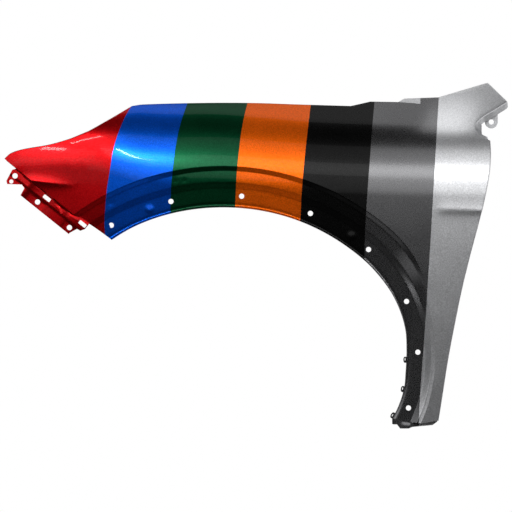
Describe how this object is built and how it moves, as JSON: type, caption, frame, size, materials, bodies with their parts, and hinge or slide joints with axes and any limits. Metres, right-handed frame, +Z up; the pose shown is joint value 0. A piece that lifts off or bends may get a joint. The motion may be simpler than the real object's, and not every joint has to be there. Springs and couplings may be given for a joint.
{
  "type": "car fender",
  "caption": "Front left car fender pressed from steel sheet, with a stepped wheel arch band, folded edges, a rear horn and painted colour bands.",
  "frame": {"origin": "underside of the hood-side bolt flange, just ahead of the wheel centre", "axes": "+X to the rear of the car, +Y inboard, +Z up"},
  "size_m": [1.0079, 0.2252, 0.6917],
  "materials": {
    "painted_sheet": "gloss"
  },
  "bodies": {
    "root": {"fender_panel": "painted_sheet"}
  },
  "joints": []
}
